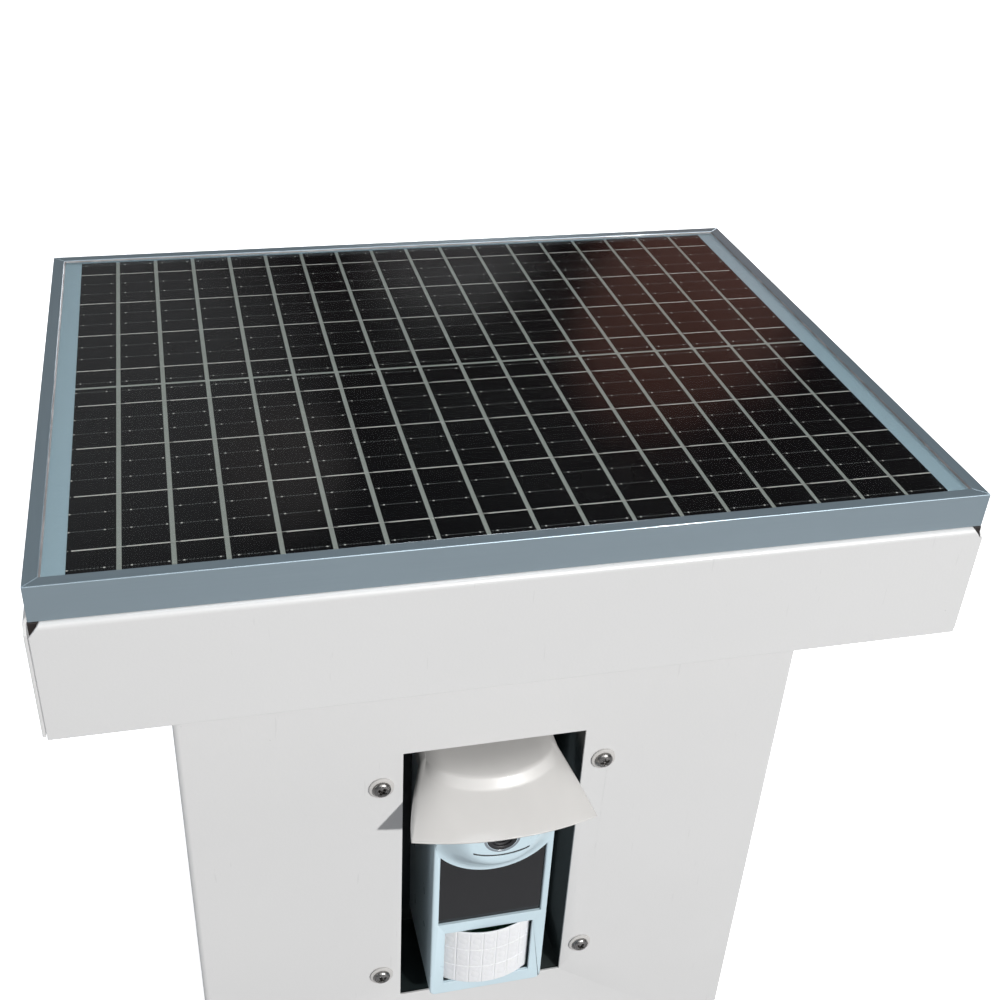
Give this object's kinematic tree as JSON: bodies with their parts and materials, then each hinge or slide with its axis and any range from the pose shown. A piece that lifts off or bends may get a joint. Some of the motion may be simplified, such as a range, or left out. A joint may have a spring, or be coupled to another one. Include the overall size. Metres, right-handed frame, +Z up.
{
  "type": "fence energizer",
  "caption": "Solar fence energizer in a sheet steel cabinet with a panel-topped rain lid, a hooded motion detector in a front recess and a rear service door.",
  "frame": {"origin": "centre of the footprint, at the undersides of the rubber feet", "axes": "+Z up, -Y to the front where the detector looks out, +X to the right as seen from the front"},
  "size_m": [0.445, 0.355, 0.48],
  "materials": {
    "frame_aluminium": "satin anodised extrusion",
    "mill_aluminium": "mill finish",
    "panel_glass": "smooth tempered glass",
    "silicon_cells": "dark monocrystalline silicon",
    "solder_ribbon": "tinned copper ribbon",
    "backsheet": "white laminate sheet",
    "black_plastic": "moulded, fine texture",
    "white_paint": "smooth powder coat, semi gloss",
    "black_rubber": "matt rubber",
    "zinc_steel": "bright zinc plate",
    "stainless": "polished stainless steel",
    "white_nylon": "natural white nylon",
    "dark_paint": "dark teal-black paint, satin",
    "white_plastic": "moulded, smooth",
    "hood_plastic": "moulded, polished",
    "black_window": "polished infrared window",
    "pir_plastic": "milky ribbed lens",
    "lens_glass": "coated lens",
    "board_green": "solder resist",
    "base_plastic": "moulded, fine texture",
    "cover_green": "moulded, semi gloss",
    "iron_core": "varnished laminations",
    "capacitor_blue": "sleeved",
    "brass": "turned",
    "red_plastic": "moulded",
    "green_plastic": "moulded",
    "controller_plastic": "moulded, fine texture",
    "display_window": "clear window over a display",
    "orange_plastic": "moulded",
    "red_cable": "cable sheath",
    "lock_chrome": "chrome plated zinc"
  },
  "bodies": {
    "cabinet": {"panel_rail_front": "frame_aluminium", "panel_rail_back": "frame_aluminium", "panel_rail_left": "frame_aluminium", "panel_rail_right": "frame_aluminium", "panel_corner_keys": "mill_aluminium", "panel_glass": "panel_glass", "solar_cells": "silicon_cells", "cell_ribbons": "solder_ribbon", "panel_backsheet": "backsheet", "junction_box": "black_plastic", "rain_lid": "white_paint", "lid_gasket": "black_rubber", "lid_grommet": "black_rubber", "body_shell": "white_paint", "base_plate": "white_paint", "rubber_feet": "black_rubber", "m5_bolts": "zinc_steel", "m5_nuts": "zinc_steel", "recess_box": "dark_paint", "front_screws": "stainless", "front_washers": "white_nylon", "detector_base": "white_plastic", "detector_cover": "white_plastic", "detector_window": "black_window", "detector_pir_lens": "pir_plastic", "detector_hood": "hood_plastic", "camera_barrel": "black_plastic", "camera_lens": "lens_glass", "detector_board": "board_green", "detector_lead": "black_rubber", "equipment_plate": "zinc_steel", "energizer_base": "base_plastic", "energizer_cover": "cover_green", "energizer_board": "board_green", "pulse_transformer": "iron_core", "storage_capacitors": "capacitor_blue", "energizer_terminals": "brass", "switch_housing": "black_plastic", "controller_case": "controller_plastic", "controller_display": "display_window", "battery_case": "base_plastic", "battery_terminals": "zinc_steel", "battery_strap": "zinc_steel", "panel_lead": "black_rubber", "positive_wiring": "red_cable", "negative_wiring": "black_rubber", "output_leads": "red_cable", "terminal_insulators": "black_plastic", "terminal_studs": "zinc_steel", "hinge_frame_leaves": "zinc_steel"},
    "door": {"rear_door": "white_paint", "door_gasket": "black_rubber", "hinge_door_leaves": "zinc_steel", "lock_housing": "lock_chrome"},
    "lock": {"lock_cam": "lock_chrome"},
    "rocker": {"rocker_paddle": "red_plastic"},
    "power_selector": {"power_knob": "black_plastic"},
    "button": {"controller_button": "orange_plastic"},
    "fence_clamp": {"fence_knob": "red_plastic"},
    "earth_clamp": {"earth_knob": "green_plastic"}
  },
  "joints": [
    {"name": "door_hinge", "type": "hinge", "parent": "cabinet", "child": "door", "pos_m": [-0.164, 0.13, 0.115], "axis": [0, 0, 1], "range_deg": [0, 110]},
    {"name": "lock_turn", "type": "hinge", "parent": "door", "child": "lock", "pos_m": [0.125, 0.13, 0.209], "axis": [0, -1, 0], "range_deg": [0, 90]},
    {"name": "rocker_tilt", "type": "hinge", "parent": "cabinet", "child": "rocker", "pos_m": [0.048, 0.0145, 0.345], "axis": [1, 0, 0], "range_deg": [0, 20]},
    {"name": "power_turn", "type": "hinge", "parent": "cabinet", "child": "power_selector", "pos_m": [0.108, 0.0145, 0.345], "axis": [0, -1, 0], "range_deg": [0, 270]},
    {"name": "button_press", "type": "slide", "parent": "cabinet", "child": "button", "axis": [0, -1, 0], "range_m": [0, 0.0012], "stiffness_N_per_m": 300, "springref_m": -0.0005},
    {"name": "fence_knob_turn", "type": "hinge", "parent": "cabinet", "child": "fence_clamp", "pos_m": [0.19, 0.06, 0.33], "axis": [1, 0, 0], "range_deg": [0, 900]},
    {"name": "earth_knob_turn", "type": "hinge", "parent": "cabinet", "child": "earth_clamp", "pos_m": [0.19, 0.06, 0.28], "axis": [1, 0, 0], "range_deg": [0, 900]}
  ]
}
